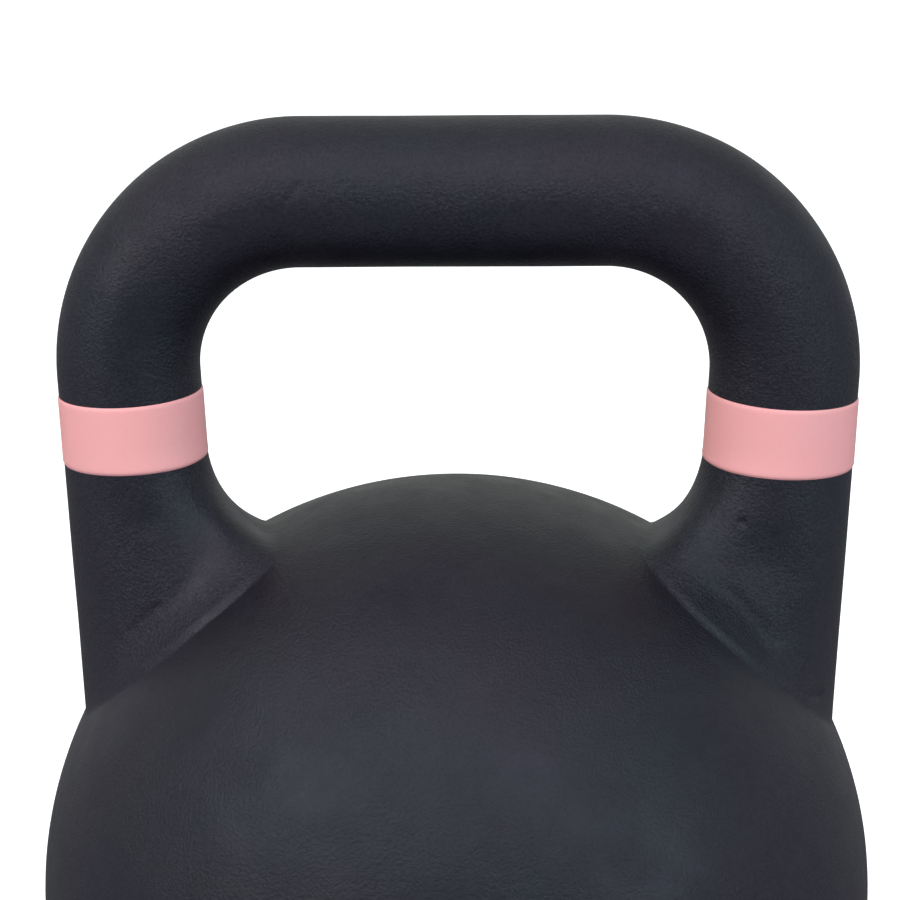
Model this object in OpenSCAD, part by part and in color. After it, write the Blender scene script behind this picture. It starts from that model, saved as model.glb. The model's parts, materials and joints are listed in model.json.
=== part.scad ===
// Kettlebell: an iron ball with a flat foot, a looped handle with two horns,
// and a thin colour band round each horn.
// Millimetres. The origin is the centre of the foot, +Z is up, the grip runs along X.

/* [Ball] */
// Diameter of the ball
ball_d = 186; // [178:1:194]
// Diameter of the flat foot that it stands on
foot_d = 106; // [80:1:120]

/* [Handle] */
// Diameter of the grip and of the corners
grip_d = 33; // [31:0.5:35]
// How much thinner the horns are than the grip
horn_taper = 0.5; // [0.2:0.1:1]
// Clear height between the top of the ball and the underside of the grip
window_h = 50.5; // [46:0.5:56]
// Clear width between the horns, at the widest
window_w = 111; // [106:0.5:116]
// Radius of each corner, along the middle of the bar
corner_r = 38.5; // [35:0.5:42]
// Inward lean of each horn, in degrees from upright
horn_lean = 3.2; // [0:0.1:6]

/* [Horn roots] */
// Reach of a root towards the window, from the middle of the horn
root_in = 27.5; // [26:0.5:30]
// Reach of a root to the front and to the back
root_side = 28; // [24:0.5:30]
// How far the widest part of a root lies towards the window
root_shift = 9; // [5:0.5:12]
// Height of a root's deep curve towards the window
root_h = 17; // [14:0.5:17]
// Height of its short curve at the front and back
root_front_h = 6; // [4:0.5:10]
// Share of the spread at the front and back that comes from a slow lean above that curve
root_lean = 0.6; // [0.2:0.05:0.8]
// Height of the small step where a root meets the ball
root_lip = 0.8; // [0.3:0.1:1.5]

/* [Colour bands] */
// Distance from the end of a corner to its band
band_gap = 4; // [2:0.5:5]
// Width of each band, along its horn
band_w = 15; // [8:0.5:15]
// Thickness of each band
band_t = 0.4; // [0.3:0.1:1]

/* [Hidden] */

iron = [0.2, 0.2, 0.22];
pink = [0.91, 0.66, 0.67];

ball_r = ball_d / 2;
foot_r = foot_d / 2;
grip_r = grip_d / 2;
horn_r = grip_r - horn_taper / 2;

// Heights of the ball's centre, of the grip's axis and of the corners' centres
ball_z = sqrt(pow(ball_r, 2) - pow(foot_r, 2));
grip_z = ball_z + ball_r + window_h + grip_r;
corner_z = grip_z - corner_r;
// Distance of the corners' centres from the middle of the grip
corner_x = window_w / 2 + grip_r - corner_r;

// Length of each horn above its root, and how far it runs into its corner and its root
horn_h = band_gap + band_w;
horn_lap = 1;
// Radius at the top of a root, a little more than the horn's
root_top_r = horn_r + 0.1;

// The ball's centre in a horn's own frame: X is towards the window, Z is down the horn
ball_in = corner_r + corner_x * cos(horn_lean) - (corner_z - ball_z) * sin(horn_lean);
ball_down = corner_x * sin(horn_lean) + (corner_z - ball_z) * cos(horn_lean);
// How far down the horn a root runs, to end well inside the ball
root_end = ball_down - sqrt(pow(ball_r, 2) - pow(ball_in + root_top_r, 2)) + 8;

// A root's curve is a stretched arc of this many degrees: towards the window, and at the front and back
window_turn = 62;
front_turn = 50;
// Steps of the lean and of the curve, and how slowly the lean begins
lean_steps = 4;
flare_steps = 12;
lean_power = 1.6;
// Points round each ring of a root
root_sides = 48;
// Squareness of a root's footprint on its window side and on its outer side: 2 is an ellipse
inner_square = 2.5;
outer_square = 1.8;

// Radius of an oval of half-widths p and q at the angle a; n sets how square it is
function oval_r(a, p, q, n) = pow(pow(abs(cos(a)) / p, n) + pow(abs(sin(a)) / q, n), -1 / n);

// A root's footprint, seen down the horn: an egg, square towards the window and narrow outside
function foot_r_at(a) =
    cos(a) > 0
        ? oval_r(a, root_in - root_shift, root_side, inner_square)
        : oval_r(a, root_top_r + root_shift, root_side, outer_square);
function foot_xy(a) = [root_shift + foot_r_at(a) * cos(a), foot_r_at(a) * sin(a)];

// The round top of a root
function top_xy(a) = [root_top_r * cos(a), root_top_r * sin(a)];

// Distance down the horn to the ball's skin
function skin_depth(p) = ball_down - sqrt(pow(ball_r, 2) - pow(p.x - ball_in, 2) - pow(p.y, 2));

// Turns from 0 towards the window to 1 at the front and back, and blends two values by it
function front(a) = pow(sin(a), 2);
function blend(a, window, side) = window + (side - window) * front(a);

// Where a root ends and where its curve starts, down the horn
function end_depth(a) = skin_depth(foot_xy(a)) - root_lip;
function curve_depth(a) = end_depth(a) - blend(a, root_h, root_front_h);

// A point of a root at the angle a: curve says how much of the curve's spread it has, from 0 to 1
function root_point(a, depth, curve) =
    let (
        slow = root_lean * front(a),
        lean = pow((depth - horn_h) / (end_depth(a) - horn_h), lean_power),
        xy = top_xy(a) + (foot_xy(a) - top_xy(a)) * (slow * lean + (1 - slow) * curve)
    )
    [xy.x, xy.y, depth];

// Points of the lean and of the curve: share runs from 0 at the top of each to 1 at its end
function lean_point(a, share) = root_point(a, horn_h + (curve_depth(a) - horn_h) * share, 0);
function flare_point(a, share) =
    let (
        full = blend(a, window_turn, front_turn),
        turn = share * full,
        depth = curve_depth(a) + (end_depth(a) - curve_depth(a)) * sin(turn) / sin(full)
    )
    root_point(a, depth, (1 - cos(turn)) / (1 - cos(full)));

// Side faces between a stack of rings, two triangles for each quad
function skin_faces(rings, sides) = [
    for (i = [0 : rings - 2], j = [0 : sides - 1], half = [0, 1])
        let (
            k = (j + 1) % sides,
            low = i * sides,
            high = low + sides
        )
        half == 0 ? [low + j, high + k, low + k] : [low + j, high + j, high + k]
];

// Puts its children at the upper end of the right horn, with Z down the horn
module at_horn() {
    translate([corner_x, 0, corner_z])
        rotate([0, 180 + horn_lean, 0])
            translate([-corner_r, 0, 0])
                children();
}

module grip() {
    translate([-corner_x, 0, grip_z])
        rotate([0, 90, 0])
            cylinder(h = 2 * corner_x, r = grip_r, $fn = 96);
}

module corner() {
    translate([corner_x, 0, corner_z])
        rotate([90, 0, 0])
            rotate_extrude(start = -horn_lean, angle = 90 + horn_lean, $fn = 128)
                translate([corner_r, 0])
                    circle(grip_r, $fn = 96);
}

module root() {
    angles = [for (j = [0 : root_sides - 1]) j * 360 / root_sides];
    lean = [for (i = [0 : lean_steps - 1], a = angles) lean_point(a, i / lean_steps)];
    flare = [for (i = [0 : flare_steps], a = angles) flare_point(a, i / flare_steps)];
    end = [for (a = angles) [foot_xy(a).x, foot_xy(a).y, root_end]];
    rings = lean_steps + flare_steps + 2;
    top_cap = [for (j = [0 : root_sides - 1]) j];
    end_cap = [for (j = [1 : root_sides]) rings * root_sides - j];
    polyhedron(
        points = concat(lean, flare, end),
        faces = concat([top_cap, end_cap], skin_faces(rings, root_sides)),
        convexity = 4
    );
}

module horn() {
    at_horn() {
        translate([0, 0, -horn_lap])
            cylinder(h = horn_h + 2 * horn_lap, r = horn_r, $fn = 96);
        root();
    }
}

module band() {
    at_horn()
        translate([0, 0, band_gap])
            difference() {
                cylinder(h = band_w, r = horn_r + band_t, $fn = 96);
                translate([0, 0, -1])
                    cylinder(h = band_w + 2, r = horn_r, $fn = 96);
            }
}

module ball() {
    color(iron)
        rotate_extrude($fn = 180)
            intersection() {
                translate([0, ball_z])
                    circle(ball_r, $fn = 180);
                square(2 * ball_d);
            }
}

module handle() {
    color(iron)
        difference() {
            union() {
                grip();
                for (side = [0, 1])
                    mirror([side, 0, 0]) {
                        corner();
                        horn();
                    }
            }
            translate([0, 0, ball_z])
                sphere(ball_r, $fn = 180);
        }
}

module left_band() {
    color(pink)
        mirror([1, 0, 0])
            band();
}

module right_band() {
    color(pink)
        band();
}

ball();
handle();
left_band();
right_band();
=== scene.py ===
"""Kettlebell: a powder-coated iron ball and looped handle, with an enamel band round each horn.

Metres, in the CAD frame: origin at the centre of the foot, +Z up, grip along X, front towards -Y.
Each piece is a closed mesh worked out by formula, then roughened like a hand-ground casting.
"""

import json
import math

import bpy
import numpy as np
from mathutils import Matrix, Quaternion, Vector, noise


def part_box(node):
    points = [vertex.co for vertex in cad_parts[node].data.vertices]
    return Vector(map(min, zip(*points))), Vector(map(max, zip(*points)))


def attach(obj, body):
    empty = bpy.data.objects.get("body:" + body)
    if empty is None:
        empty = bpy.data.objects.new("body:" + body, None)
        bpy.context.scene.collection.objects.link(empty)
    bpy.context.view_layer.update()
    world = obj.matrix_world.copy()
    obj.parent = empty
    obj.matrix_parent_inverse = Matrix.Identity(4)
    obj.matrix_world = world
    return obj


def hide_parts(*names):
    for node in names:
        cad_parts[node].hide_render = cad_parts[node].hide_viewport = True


MM = 0.001

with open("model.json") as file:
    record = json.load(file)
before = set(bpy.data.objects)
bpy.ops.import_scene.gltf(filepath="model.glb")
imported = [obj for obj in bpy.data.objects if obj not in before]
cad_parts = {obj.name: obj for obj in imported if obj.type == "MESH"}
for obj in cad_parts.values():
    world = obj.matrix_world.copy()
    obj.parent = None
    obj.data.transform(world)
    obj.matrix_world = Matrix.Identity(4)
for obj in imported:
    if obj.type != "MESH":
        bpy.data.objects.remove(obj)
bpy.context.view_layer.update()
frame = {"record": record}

# ---------------------------------------------------------------- sizes, from the frame

ball_low, ball_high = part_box("ball")
handle_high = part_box("handle")[1]

BALL_R = (ball_high.x - ball_low.x) / 2
BALL_Z = ball_high.z - BALL_R
FOOT_R = math.sqrt(BALL_R**2 - BALL_Z**2)
GRIP_R = next(m for m in frame["record"]["mounts"] if m["name"] == "grip")["dims"]["r_mm"] * MM
GRIP_Z = handle_high.z - GRIP_R

# The casting isn't quite symmetric: its left horn is thinner and its left corner is tighter.
# Down the horn from the end of its corner, a band runs from band[0] to band[1]. root_in and root_side say
# how far the root spreads on the ball, towards the window and to the front and back, and wing how much
# further it goes between the two at the front.
SIDES = {
    "left": {
        "sign": -1, "corner_x": 33.4 * MM, "corner_r": 38.0 * MM, "horn_r": 15.85 * MM, "lean": 3.1,
        "band": (4.1 * MM, 19.25 * MM),
        "root_in": 27.6 * MM, "root_side": 26.8 * MM, "wing": 4.2 * MM,
    },
    "right": {
        "sign": 1, "corner_x": 33.1 * MM, "corner_r": 39.25 * MM, "horn_r": 16.55 * MM, "lean": 3.15,
        "band": (3.7 * MM, 19.25 * MM),
        "root_in": 26.8 * MM, "root_side": 28.6 * MM, "wing": 3.0 * MM,
    },
}
BAND_T = 0.25 * MM
# Width of a band's rounded edge, and how far its inside lies under the horn's skin
BAND_EDGE = 0.4 * MM
BAND_UNDER = 0.5 * MM

# The root's footprint is an egg round a point this far from the horn's axis. Its half towards the window
# and its outer half differ in how square they are: 2 is an ellipse
ROOT_SHIFT = 9.0 * MM
INNER_SQUARE, OUTER_SQUARE, ROUND = 2.5, 1.8, 2.0
# How far the wing lies from the window, turning to the front, and how wide it is
WING_AT, WING_WIDTH = math.radians(42), math.radians(24)

# Towards the window the root sweeps out in a deep curve. At the front and back it first leans out slowly,
# for this share of its spread, and turns only at the end
WINDOW_FLARE = {"height": 22.0 * MM, "turn": 66.0}
FRONT_FLARE = {"height": 6.0 * MM, "turn": 58.0}
SLOW_SHARE = 0.53
SLOW_START = 14.0 * MM
# How fast that share grows from the window round to the front, and the power by which the lean steepens
SLOW_GROWTH, SLOW_POWER = 1.7, 1.6
# How far the web beside the window follows the window's own curve
WEB = 0.6

# The step at the front and back where the root meets the ball
LIP_H = 1.5 * MM
# The width of the fillet there, how much wider it is under the window, and how far apart its points are
FILLET, WINDOW_FILLET, FILLET_STEP = 0.65 * MM, 1.2 * MM, 0.12 * MM
# The skirt is the skin that runs on under the ball's: its length, its slope in degrees, and how far out it
# starts as a share of the step
SKIRT = 5.0 * MM
SKIRT_SLOPE = 4.0
SKIRT_START = 0.6

# Points round each ring
COLUMNS = 256


# ---------------------------------------------------------------- casting unevenness

# Depth of the slow and of the shorter waves left by hand grinding, and how many there are to the metre
SLOW_WAVES, SHORT_WAVES = (0.16 * MM, 38.0), (0.05 * MM, 110.0)
SHORT_WAVES_AT = Vector((7.0, 3.0, 1.0))


def unevenness(p):
    """How far the skin lies below its true shape at p, always inward."""
    slow = noise.noise(p * SLOW_WAVES[1]) * 0.5 + 0.5
    short = noise.noise(p * SHORT_WAVES[1] + SHORT_WAVES_AT) * 0.5 + 0.5
    return SLOW_WAVES[0] * slow + SHORT_WAVES[0] * short


def grid_normals(p):
    """Unit normals of a grid of points (rows, columns, 3) whose columns close on themselves."""
    along = np.gradient(p, axis=0)
    around = np.roll(p, -1, axis=1) - np.roll(p, 1, axis=1)
    n = np.cross(around, along)
    return n / np.maximum(np.linalg.norm(n, axis=2, keepdims=True), 1e-12)


def roughen(p, dents=()):
    """Moves a grid's points inward by the unevenness and by each dent."""
    n = grid_normals(p)
    flat = p.reshape(-1, 3)
    depth = np.array([unevenness(Vector(q)) for q in flat])
    for press in dents:
        depth += press(flat)
    return p - n * depth.reshape(p.shape[0], p.shape[1], 1)


def dent(points, width, depth):
    """A mark on the front: a smooth groove along a line of points (x, z), or a dimple at one point."""
    line = np.array(points, float) * MM

    def press(q):
        flat = q[:, [0, 2]]
        if len(line) == 1:
            d = np.linalg.norm(flat - line[0], axis=1)
        else:
            d = np.full(len(flat), 1e9)
            for a, b in zip(line[:-1], line[1:]):
                ab = b - a
                t = np.clip(((flat - a) @ ab) / (ab @ ab), 0, 1)
                d = np.minimum(d, np.linalg.norm(flat - (a + t[:, None] * ab), axis=1))
        return np.where(q[:, 1] < 0, depth * MM * np.exp(-((d / (width * MM)) ** 2)), 0)

    return press


# ---------------------------------------------------------------- mesh helpers

def make_object(name, vertices, faces):
    mesh = bpy.data.meshes.new(name)
    mesh.from_pydata([tuple(v) for v in vertices], [], faces)
    mesh.validate()
    mesh.update()
    for polygon in mesh.polygons:
        polygon.use_smooth = True
    obj = bpy.data.objects.new(name, mesh)
    bpy.context.scene.collection.objects.link(obj)
    return obj


def ring_faces(rows, columns, closed_rows=False):
    """Quads over a grid whose columns close on themselves, and its rows too if closed_rows."""
    faces = []
    for i in range(rows if closed_rows else rows - 1):
        a, b = i * columns, ((i + 1) % rows) * columns
        for j in range(columns):
            k = (j + 1) % columns
            faces.append((a + j, a + k, b + k, b + j))
    return faces


def capped_tube(name, grid):
    """A closed skin over a grid of rings, with a fan of triangles at each end."""
    rows, columns = grid.shape[:2]
    vertices = list(grid.reshape(-1, 3))
    faces = ring_faces(rows, columns)
    for row, flip in ((0, True), (rows - 1, False)):
        centre = len(vertices)
        vertices.append(grid[row].mean(axis=0))
        for j in range(columns):
            a, b = row * columns + j, row * columns + (j + 1) % columns
            faces.append((centre, b, a) if flip else (centre, a, b))
    return make_object(name, vertices, faces)


# ---------------------------------------------------------------- handle shape

ANGLES = np.arange(COLUMNS) * 2 * np.pi / COLUMNS


def horn_frame(side):
    """Start of the horn's axis and its directions: towards the window, front to back, and down."""
    lean = math.radians(side["lean"])
    inward = np.array([-math.cos(lean), 0, math.sin(lean)])
    down = np.array([-math.sin(lean), 0, -math.cos(lean)])
    start = np.array([side["corner_x"], 0, GRIP_Z - side["corner_r"]]) - inward * side["corner_r"]
    return start, inward, np.array([0, 1.0, 0]), down


def to_row_frame(side, local):
    """Points given as (towards the window, front to back, down the horn) to the row frame."""
    start, inward, back, down = horn_frame(side)
    p = start + local[..., 0:1] * inward + local[..., 1:2] * back + local[..., 2:3] * down
    return p * np.array([side["sign"], 1, 1])


def oval_r(a, p, q, power):
    return (np.abs(np.cos(a) / p) ** power + np.abs(np.sin(a) / q) ** power) ** (-1 / power)


def footprint(side, a, round_only=False):
    """The root's edge on the ball, seen down the horn: an egg, square towards the window, with its wing."""
    square, wing = (ROUND, 0.0) if round_only else (INNER_SQUARE, side["wing"])
    outer = side["horn_r"] + ROOT_SHIFT
    r = np.where(
        np.cos(a) > 0,
        oval_r(a, side["root_in"] - ROOT_SHIFT, side["root_side"], square),
        oval_r(a, outer, side["root_side"], OUTER_SQUARE),
    )
    turned = np.remainder(-a, 2 * np.pi)
    r = r + wing * np.exp(-(((turned - WING_AT) / WING_WIDTH) ** 2))
    return np.stack([ROOT_SHIFT + r * np.cos(a), r * np.sin(a)], axis=-1)


def ball_in_horn(side):
    """The ball's centre in the horn's frame: towards the window and down."""
    start, inward, _, down = horn_frame(side)
    to_ball = np.array([0, 0, BALL_Z]) - start
    return to_ball @ inward, to_ball @ down


def skin_depth(side, xy):
    """Distance down the horn to the ball's skin."""
    across, below = ball_in_horn(side)
    inside = BALL_R**2 - (xy[..., 0] - across) ** 2 - xy[..., 1] ** 2
    return below - np.sqrt(np.maximum(inside, 0))


def smooth_line(line, step, sigma):
    """A line resampled every step and rounded off by a Gaussian of width sigma."""
    length = np.concatenate([[0], np.cumsum(np.linalg.norm(np.diff(line, axis=0), axis=1))])
    keep = np.concatenate([[True], np.diff(length) > 1e-9])
    count = max(int(length[-1] / step), 8)
    s = np.linspace(0, length[-1], count + 1)
    even = np.stack([np.interp(s, length[keep], line[keep, i]) for i in range(3)], axis=1)
    reach = int(4 * sigma / step)
    kernel = np.exp(-0.5 * (np.arange(-reach, reach + 1) * step / sigma) ** 2)
    kernel /= kernel.sum()
    before = 2 * even[0] - even[reach:0:-1]
    after = 2 * even[-1] - even[-2 : -reach - 2 : -1]
    padded = np.concatenate([before, even, after])
    soft = np.stack([np.convolve(padded[:, i], kernel, "valid") for i in range(3)], axis=1)
    return s, soft


def front_share(a):
    """0 towards the window and away from it, 1 at the front and back."""
    return math.sin(a) ** 2


def window_end(side):
    """How far down the horn the root ends at its middle towards the window."""
    return float(skin_depth(side, footprint(side, np.array([0.0]))[0]))


def flare(side, a, count=60):
    """The root's skin down to its edge at the angle a, in the horn's frame, with the lip below it."""
    top_xy = side["horn_r"] * np.array([math.cos(a), math.sin(a)])
    foot_xy = footprint(side, np.array([a]))[0]
    round_xy = footprint(side, np.array([a]), round_only=True)[0]
    front = front_share(a)
    height, turn = ((1 - front) * WINDOW_FLARE[key] + front * FRONT_FLARE[key] for key in ("height", "turn"))
    turn = math.radians(turn)
    slow = SLOW_SHARE * min(1.0, SLOW_GROWTH * front)
    lip = LIP_H * front
    end = float(skin_depth(side, foot_xy)) - lip
    bend = np.linspace(0, turn, count)
    depth = np.concatenate([
        np.linspace(0, end - height, count, endpoint=False),
        end - height + height * np.sin(bend) / math.sin(turn),
    ])
    curve = np.concatenate([np.zeros(count), (1 - np.cos(bend)) / (1 - math.cos(turn))])
    lean = np.clip((depth - SLOW_START) / (end - SLOW_START), 0, 1) ** SLOW_POWER
    slowly = slow * (round_xy - top_xy)
    # the web between the window's curve and the front spreads towards the window early, like that curve
    web_end = end + WEB * (window_end(side) - end)
    web_height = WINDOW_FLARE["height"]
    web_turn = math.radians(WINDOW_FLARE["turn"])
    web_bend = np.arcsin(np.clip((depth - web_end + web_height) / web_height, 0, 1) * math.sin(web_turn))
    web = (1 - np.cos(web_bend)) / (1 - math.cos(web_turn))
    curves = np.column_stack([(1 - WEB) * curve + WEB * web, curve])
    xy = top_xy + slowly * lean[:, None] + (foot_xy - top_xy - slowly) * curves
    return np.column_stack([xy, depth]), lip


def root_column(side, a, wall_rows, edge_rows, edge=2 * MM, skirt_points=100):
    """One line of the root's skin at the angle a, from the end of the corner to under the ball's skin.

    The rows are closer from just above the root's edge on.
    """
    wall, lip = flare(side, a)
    top_xy, foot_xy = wall[0, :2], wall[-1, :2]
    # the skirt goes on the way the root spreads, or straight out where it hardly does
    outward = foot_xy - top_xy + 2 * MM * np.array([math.cos(a), math.sin(a)])
    outward /= np.linalg.norm(outward)
    run = np.linspace(SKIRT_START * lip, 1.5 * SKIRT, skirt_points)
    skirt_xy = foot_xy + outward * run[:, None]
    sink = (run - run[0]) * math.tan(math.radians(SKIRT_SLOPE))
    skirt = np.column_stack([skirt_xy, skin_depth(side, skirt_xy) + sink])
    skirt_s = np.concatenate([[0], np.cumsum(np.linalg.norm(np.diff(skirt, axis=0), axis=1))])
    skirt = skirt[skirt_s <= SKIRT]
    # the fillet is crisp at the front and back and soft under the window
    fillet = FILLET + WINDOW_FILLET * max(0.0, math.cos(a)) ** 3
    s, soft = smooth_line(np.concatenate([wall, skirt]), FILLET_STEP, fillet)
    edge_s = np.linalg.norm(np.diff(wall, axis=0), axis=1).sum()
    stations = np.concatenate([
        np.linspace(0, edge_s - edge, wall_rows, endpoint=False),
        np.linspace(edge_s - edge, s[-1], edge_rows),
    ])
    return np.stack([np.interp(stations, s, soft[:, i]) for i in range(3)], axis=1)


def root_grid(side, wall_rows=96, edge_rows=48, under_depth=2.5 * MM, inner_depth=3 * MM):
    """Rings of the root, from the end of the corner down."""
    lines = [root_column(side, a, wall_rows, edge_rows) for a in ANGLES]
    local = np.array(lines).transpose(1, 0, 2)
    # the skin turns in under the ball and closes there
    under = local[-1].copy()
    under[:, 2] += under_depth
    inner = under.copy()
    middle = np.array([ROOT_SHIFT, 0])
    inner[:, :2] = middle + (under[:, :2] - middle) * 0.5
    inner[:, 2] = skin_depth(side, inner[:, :2]) + inner_depth
    return to_row_frame(side, np.concatenate([local, under[None], inner[None]]))


def half_bar(side, grip_rows=60, corner_rows=90):
    """Rings of the grip and the corner of one side, from the middle outward."""
    centre_x, centre_z = side["corner_x"], GRIP_Z - side["corner_r"]
    lean = math.radians(side["lean"])
    rings = []
    bends = [0.0] * grip_rows + list(np.linspace(0, math.pi / 2 + lean, corner_rows, endpoint=False))
    for i, bend in enumerate(bends):
        x = centre_x * min(i / grip_rows, 1.0)
        out = np.array([math.sin(bend), 0, math.cos(bend)])
        share = bend / (math.pi / 2 + lean)
        blend = share * share * (3 - 2 * share)
        r = GRIP_R + (side["horn_r"] - GRIP_R) * blend
        centre = np.array([x, 0, centre_z]) + out * side["corner_r"]
        section = -np.cos(ANGLES)[:, None] * out + np.sin(ANGLES)[:, None] * np.array([0, 1.0, 0])
        rings.append(centre + r * section)
    return np.array(rings) * np.array([side["sign"], 1, 1])


def handle_grid():
    """Rings of the whole handle, from under the ball on the left to under it on the right."""
    halves = {}
    for name, side in SIDES.items():
        halves[name] = np.concatenate([half_bar(side), root_grid(side)])
    return np.concatenate([halves["left"][:0:-1], halves["right"]])


# ---------------------------------------------------------------- pieces

# Marks left by casting and grinding, in mm: hollows and a groove above the seam, slits, nicks and a pit
HANDLE_DENTS = [
    dent([(-66.8, 166.9)], 3.0, 0.30),
    dent([(-71.7, 142.3), (-64.2, 148.8)], 0.7, 0.25),
    dent([(-68.5, 146.3), (-65.5, 148.6)], 0.7, 0.15),
    dent([(67.0, 157.5)], 7.0, 1.40),
    dent([(72.0, 155.0)], 4.0, 0.25),
    dent([(56.2, 152.4), (59.1, 151.1), (62.1, 148.8), (65.0, 145.1), (67.9, 140.5)], 2.0, 0.70),
    dent([(78.5, 126.5), (80.5, 125.5)], 0.8, 0.55),
    dent([(-35.2, 238.0), (-33.0, 241.2)], 0.7, 0.22),
    dent([(62.3, 166.3)], 0.8, 0.45),
]

handle = capped_tube("kettlebell_handle", roughen(handle_grid(), HANDLE_DENTS))


def ball_grid(edge=2.0 * MM, foot_rows=12, edge_rows=5, skin_rows=169):
    """Rings of the ball from the foot's middle, round its edge, and over the skin to the top."""
    profile = [(r, 0.0) for r in np.linspace(1.0 * MM, FOOT_R - 1.4 * edge, foot_rows)]
    low = math.asin(-BALL_Z / BALL_R)
    skin = [
        (BALL_R * math.cos(t), BALL_Z + BALL_R * math.sin(t))
        for t in np.linspace(low + edge / BALL_R, math.pi / 2, skin_rows + 1)[:-1]
    ]
    corner = (FOOT_R, 0.0)
    start, stop = profile[-1], skin[0]
    for t in np.linspace(0, 1, edge_rows + 2)[1:-1]:
        x, z = ((1 - t) ** 2 * start[i] + 2 * t * (1 - t) * corner[i] + t**2 * stop[i] for i in range(2))
        profile.append((x, z))
    profile += skin
    return np.array([
        np.stack([r * np.cos(ANGLES), r * np.sin(ANGLES), np.full(COLUMNS, z)], axis=-1)
        for r, z in profile
    ])


def ball_skin(flat_h=3 * MM):
    """The ball's rings, roughened except on the foot, which is ground flat."""
    grid = ball_grid()
    rough = roughen(grid)
    share = np.clip(grid[..., 2:3] / flat_h, 0, 1)
    return grid + (rough - grid) * share


ball = capped_tube("kettlebell_ball", ball_skin())


def band_section(side, a, down):
    """Points of the horn's skin at the angle a and each distance down."""
    wall, _ = flare(side, a)
    return np.stack([np.interp(down, wall[:, 2], wall[:, i]) for i in range(3)], axis=1)


def make_band(name, side, skin_rows=25):
    """A thin closed sleeve on the horn, with its edges rounded down to the skin."""
    first, last = side["band"]
    share = np.linspace(0, 1, skin_rows)
    down = first + (last - first) * share
    skin = np.array([band_section(side, a, down) for a in ANGLES]).transpose(1, 0, 2)
    skin = to_row_frame(side, skin)
    if side["sign"] < 0:
        skin = skin[::-1]
    normals = grid_normals(skin)
    base = roughen(skin)
    edge = np.clip(np.minimum(share, 1 - share) * (last - first) / BAND_EDGE, 0, 1)
    rise = BAND_T * np.sqrt(edge * (2 - edge))[:, None, None]
    outer = base + normals * rise
    inner = (base - normals * BAND_UNDER)[::-1]
    grid = np.concatenate([outer, inner])
    rows, columns = grid.shape[:2]
    return make_object(name, grid.reshape(-1, 3), ring_faces(rows, columns, closed_rows=True))


bands = {name: make_band(f"kettlebell_{name}_band", side) for name, side in SIDES.items()}


# ---------------------------------------------------------------- materials

def new_material(name):
    material = bpy.data.materials.new(name)
    material.use_nodes = True
    nodes, links = material.node_tree.nodes, material.node_tree.links
    return material, nodes, links, nodes["Principled BSDF"]


def noise_node(nodes, links, coords, scale, detail=2.0, roughness=0.5):
    node = nodes.new("ShaderNodeTexNoise")
    node.inputs["Scale"].default_value = scale
    node.inputs["Detail"].default_value = detail
    node.inputs["Roughness"].default_value = roughness
    links.new(coords, node.inputs["Vector"])
    return node.outputs["Fac"]


def ramp_node(nodes, links, value, stops):
    node = nodes.new("ShaderNodeValToRGB")
    ramp = node.color_ramp
    while len(ramp.elements) < len(stops):
        ramp.elements.new(0.5)
    for element, (place, colour) in zip(ramp.elements, stops):
        element.position = place
        element.color = (*colour, 1)
    links.new(value, node.inputs["Fac"])
    return node.outputs["Color"]


def range_node(nodes, links, value, low, high, to_low, to_high):
    node = nodes.new("ShaderNodeMapRange")
    for key, number in zip(("From Min", "From Max", "To Min", "To Max"), (low, high, to_low, to_high)):
        node.inputs[key].default_value = number
    links.new(value, node.inputs["Value"])
    return node.outputs["Result"]


def scale_colour(nodes, links, colour, factor):
    node = nodes.new("ShaderNodeVectorMath")
    node.operation = "SCALE"
    links.new(colour, node.inputs[0])
    links.new(factor, node.inputs["Scale"])
    return node.outputs["Vector"]


def multiply(nodes, links, a, b):
    node = nodes.new("ShaderNodeMath")
    node.operation = "MULTIPLY"
    links.new(a, node.inputs[0])
    links.new(b, node.inputs[1])
    return node.outputs["Value"]


def bump_node(nodes, links, height, strength, distance, normal=None):
    node = nodes.new("ShaderNodeBump")
    node.inputs["Strength"].default_value = strength
    node.inputs["Distance"].default_value = distance
    links.new(height, node.inputs["Height"])
    if normal is not None:
        links.new(normal, node.inputs["Normal"])
    return node.outputs["Normal"]


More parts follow.
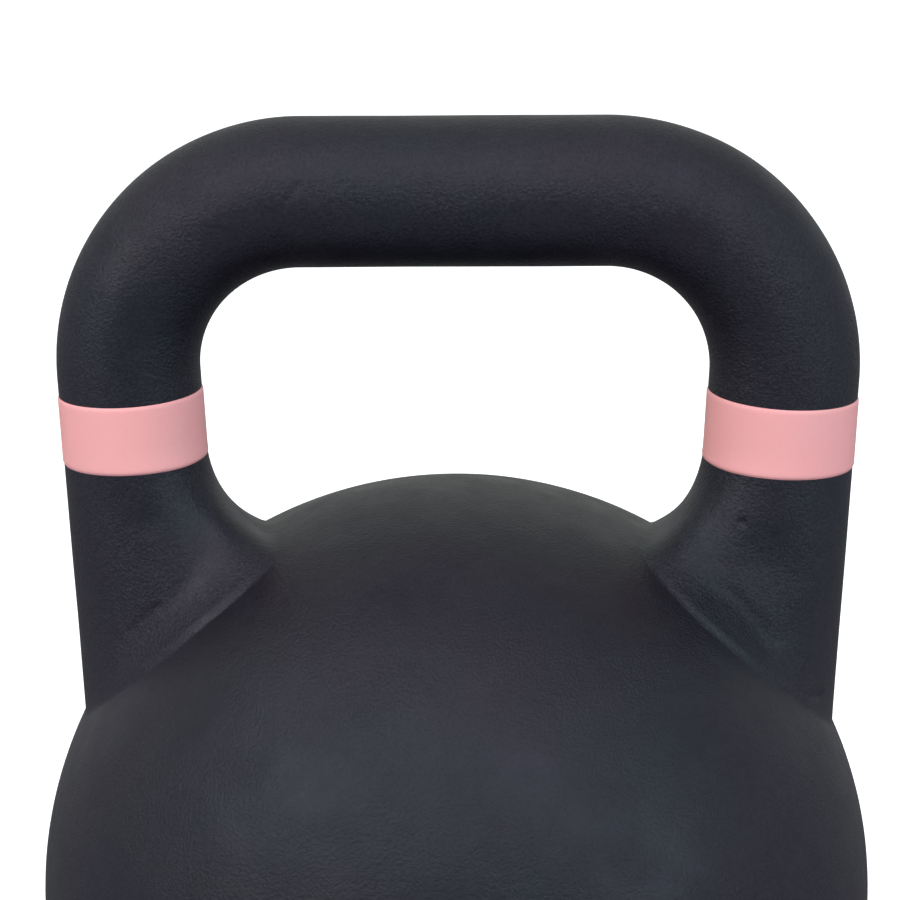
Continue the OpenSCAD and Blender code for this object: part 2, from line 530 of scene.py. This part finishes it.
def powder_coat(name, grain_depth, sparkle):
    """Matt charcoal coat: fine sparkling grain, faint mottling and a slow drift from violet to slate."""
    material, nodes, links, shader = new_material(name)
    coords = nodes.new("ShaderNodeTexCoord").outputs["Object"]
    drift = noise_node(nodes, links, coords, 16.0, 3.0)
    tint = ramp_node(nodes, links, drift, [
        (0.32, (0.0074, 0.0062, 0.0106)),
        (0.50, (0.0068, 0.0065, 0.0092)),
        (0.68, (0.0060, 0.0068, 0.0092)),
    ])
    blotches = noise_node(nodes, links, coords, 230.0, 4.0, 0.6)
    mottle = range_node(nodes, links, blotches, 0.3, 0.7, 0.84, 1.16)
    grain = noise_node(nodes, links, coords, 1500.0, 3.0, 0.65)
    speck = range_node(nodes, links, grain, 0.3, 0.75, 0.7, 1.5)
    shade = multiply(nodes, links, mottle, speck)
    links.new(scale_colour(nodes, links, tint, shade), shader.inputs["Base Color"])
    wear = noise_node(nodes, links, coords, 120.0, 4.0, 0.6)
    links.new(range_node(nodes, links, wear, 0.3, 0.7, 0.31, 0.42), shader.inputs["Roughness"])
    waves = noise_node(nodes, links, coords, 420.0, 2.0)
    patches = range_node(nodes, links, noise_node(nodes, links, coords, 45.0, 2.0), 0.35, 0.65, 0.5, 1.3)
    dull = bump_node(nodes, links, multiply(nodes, links, waves, patches), 0.6, 0.6 * grain_depth)
    links.new(bump_node(nodes, links, multiply(nodes, links, grain, patches), 1.0, grain_depth, dull),
              shader.inputs["Normal"])
    links.new(range_node(nodes, links, grain, 0.3, 0.7, 0.30 - sparkle, 0.30 + sparkle),
              shader.inputs["Specular IOR Level"])
    sheen = ramp_node(nodes, links, drift, [
        (0.36, (1.0, 0.93, 1.0)),
        (0.50, (0.98, 0.95, 1.0)),
        (0.64, (0.90, 0.96, 1.0)),
    ])
    links.new(sheen, shader.inputs["Specular Tint"])
    return material


def band_enamel():
    """Satin pink enamel laid over the powder coat, whose grain still shows through."""
    material, nodes, links, shader = new_material("colour_band")
    coords = nodes.new("ShaderNodeTexCoord").outputs["Object"]
    drift = noise_node(nodes, links, coords, 60.0, 3.0)
    tint = ramp_node(nodes, links, drift, [
        (0.35, (0.83, 0.365, 0.330)),
        (0.65, (0.81, 0.375, 0.342)),
    ])
    grain = noise_node(nodes, links, coords, 1900.0, 2.0, 0.6)
    speck = range_node(nodes, links, grain, 0.3, 0.75, 0.985, 1.015)
    links.new(scale_colour(nodes, links, tint, speck), shader.inputs["Base Color"])
    links.new(range_node(nodes, links, drift, 0.3, 0.7, 0.42, 0.52), shader.inputs["Roughness"])
    links.new(bump_node(nodes, links, grain, 0.25, 0.10 * MM), shader.inputs["Normal"])
    shader.inputs["Specular IOR Level"].default_value = 0.3
    return material


ball_coat = powder_coat("powder_coat_ball", 0.30 * MM, 0.012)
handle_coat = powder_coat("powder_coat_handle", 0.34 * MM, 0.05)
enamel = band_enamel()
for piece, material, node, slot in (
    (ball, ball_coat, "ball", "powder_coat"),
    (handle, handle_coat, "handle", "powder_coat"),
    (bands["left"], enamel, "left_band", "colour_band"),
    (bands["right"], enamel, "right_band", "colour_band"),
):
    piece.data.materials.append(material)
    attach(piece, "root")
    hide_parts(node)


# ---------------------------------------------------------------- stage, light and camera

def make_stage(half=8.0, wall_r=7.5, wall_z=(-0.5, 9.0), wall_sides=64):
    """A white floor with a pale glow of its own, and a white wall all round it, as in a light tent."""
    corners = [(-half, -half, 0), (half, -half, 0), (half, half, 0), (-half, half, 0)]
    floor = make_object("floor", corners, [(0, 1, 2, 3)])
    turns = np.arange(wall_sides) * 2 * np.pi / wall_sides
    wall_rings = np.array([
        np.stack([wall_r * np.cos(turns), wall_r * np.sin(turns), np.full(wall_sides, z)], axis=-1)
        for z in wall_z
    ])
    wall = make_object("studio_wall", wall_rings.reshape(-1, 3), ring_faces(2, wall_sides))
    for obj, glow in ((floor, 0.55), (wall, 1.0)):
        material, nodes, links, shader = new_material(obj.name + "_white")
        shader.inputs["Base Color"].default_value = (0.90, 0.90, 0.87, 1)
        shader.inputs["Roughness"].default_value = 0.9
        shader.inputs["Specular IOR Level"].default_value = 0.0
        shader.inputs["Emission Color"].default_value = (1, 1, 0.97, 1)
        shader.inputs["Emission Strength"].default_value = glow
        obj.data.materials.append(material)
        # neither throws light back on the object, whose underside stays as dark as in a product shot
        obj.visible_diffuse = False
        obj.visible_glossy = False
    wall.visible_shadow = False


def multiply_add(nodes, links, share, colour):
    """A node that adds share of a colour to whatever its last input holds."""
    node = nodes.new("ShaderNodeVectorMath")
    node.operation = "MULTIPLY_ADD"
    links.new(share, node.inputs[0])
    node.inputs[1].default_value = colour
    return node


def make_world():
    """A soft blue-grey tent: paler overhead, neutral at the back, and dark low behind the object."""
    world = bpy.data.worlds.new("studio")
    world.use_nodes = True
    nodes, links = world.node_tree.nodes, world.node_tree.links
    split = nodes.new("ShaderNodeSeparateXYZ")
    links.new(nodes.new("ShaderNodeTexCoord").outputs["Generated"], split.inputs["Vector"])
    up, back = split.outputs["Z"], split.outputs["Y"]
    overhead = multiply_add(nodes, links, range_node(nodes, links, up, 0, 1, 0, 1), (0.20, 0.25, 0.15))
    overhead.inputs[2].default_value = (0.50, 0.52, 0.65)
    tent = multiply_add(nodes, links, range_node(nodes, links, back, 0.2, 1, 0, 1), (-0.02, -0.03, -0.17))
    links.new(overhead.outputs["Vector"], tent.inputs[2])
    low = range_node(nodes, links, up, -0.30, 0.05, 1, 0)
    behind = range_node(nodes, links, back, 0.10, 0.70, 0, 0.65)
    shade = range_node(nodes, links, multiply(nodes, links, low, behind), 0, 1, 1, 0)
    links.new(scale_colour(nodes, links, tent.outputs["Vector"], shade), nodes["Background"].inputs["Color"])
    bpy.context.scene.world = world


LIT_POINT = Vector((0, 0, 0.17))
SOFTBOX_SIZE, SOFTBOX_DISTANCE = 0.55, 1.3


def make_softbox(name, across, up, power, colour=(1, 1, 1)):
    """A square softbox aimed at the object. Its direction is across and up in degrees: 0, 0 is the front."""
    across, up = math.radians(across), math.radians(up)
    direction = Vector((math.sin(across) * math.cos(up), -math.cos(across) * math.cos(up), math.sin(up)))
    data = bpy.data.lights.new(name, "AREA")
    data.size = SOFTBOX_SIZE
    data.energy = power
    data.color = colour
    light = bpy.data.objects.new(name, data)
    bpy.context.scene.collection.objects.link(light)
    light.location = LIT_POINT + SOFTBOX_DISTANCE * direction
    light.rotation_euler = (-direction).to_track_quat("-Z", "Y").to_euler()


def make_camera():
    """Straight in front and a little above, looking at a point just over the ball, very slightly tilted."""
    elevation, roll = math.radians(15.36), math.radians(-0.23)
    distance = 0.900
    target = Vector((0.0006, 0, BALL_Z + 101.83 * MM))
    data = bpy.data.cameras.new("camera")
    data.sensor_width = 36.0
    data.lens = 160.7
    camera = bpy.data.objects.new("camera", data)
    bpy.context.scene.collection.objects.link(camera)
    back = Vector((0, -math.cos(elevation), math.sin(elevation)))
    camera.location = target + back * distance
    turn = (-back).to_track_quat("-Z", "Y")
    camera.rotation_euler = (turn @ Quaternion((0, 0, 1), roll)).to_euler()
    bpy.context.scene.camera = camera


make_stage()
make_world()
make_softbox("front_left", -35, 30, 2.3, (0.95, 0.97, 1.0))
make_softbox("left", -56, 24, 3.7)
make_softbox("front", 0, 30, 1.6, (1.0, 0.93, 1.0))
make_softbox("front_right", 35, 30, 1.2, (1.0, 0.92, 1.0))
make_softbox("right", 52, 12, 3.3, (0.68, 0.93, 1.0))
make_softbox("high_left", -70, 55, 3.0, (0.86, 0.82, 1.0))
make_softbox("high_right", 35, 55, 2.8, (0.60, 0.66, 1.0))
make_softbox("high_front", 0, 55, 0.9, (0.95, 0.82, 1.0))
make_softbox("above", 0, 80, 0.9, (0.9, 0.72, 1.0))
make_softbox("low_left", -70, 5, 0.8, (1.0, 0.9, 0.97))
make_softbox("low_right", 70, 5, 0.4, (0.65, 0.9, 1.0))
make_camera()
bpy.context.scene.view_settings.view_transform = "Standard"
